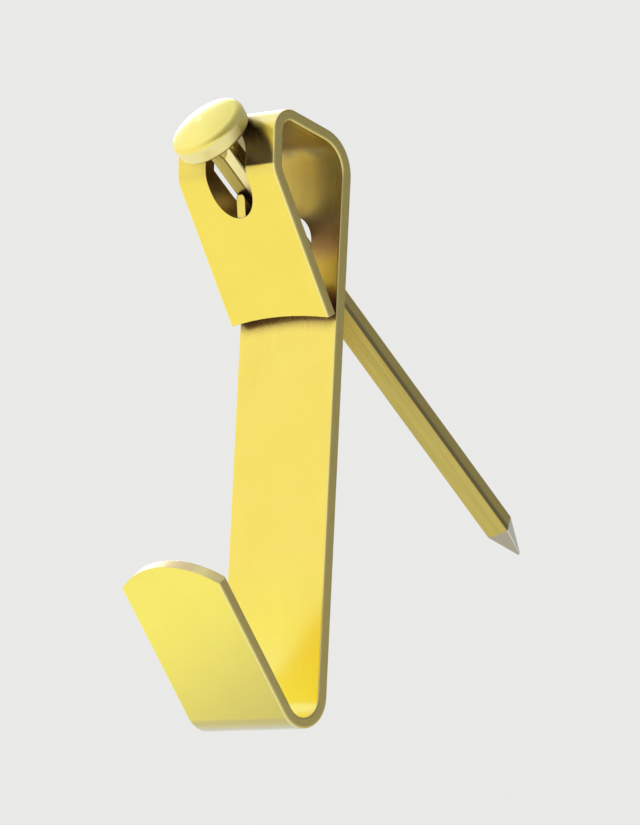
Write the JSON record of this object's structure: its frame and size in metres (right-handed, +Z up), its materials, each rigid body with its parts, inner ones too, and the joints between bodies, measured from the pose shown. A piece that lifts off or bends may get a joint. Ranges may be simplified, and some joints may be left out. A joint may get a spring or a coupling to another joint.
{
  "type": "picture hook",
  "caption": "Folded brass-plated strip picture hook with a square-shank domed nail slanting down through its loop into the wall.",
  "frame": {"origin": "centre of the width on the flat back face that lies on the wall, 20 mm above the lowest point of the catch", "axes": "+X across the strip, +Y into the wall, +Z up; the room is at -Y"},
  "size_m": [0.0094, 0.0348, 0.0426],
  "materials": {
    "strip_brass": "bright plated, satin",
    "nail_brass": "plated, satin"
  },
  "bodies": {
    "root": {"hook_strip": "strip_brass", "nail": "nail_brass"}
  },
  "joints": []
}
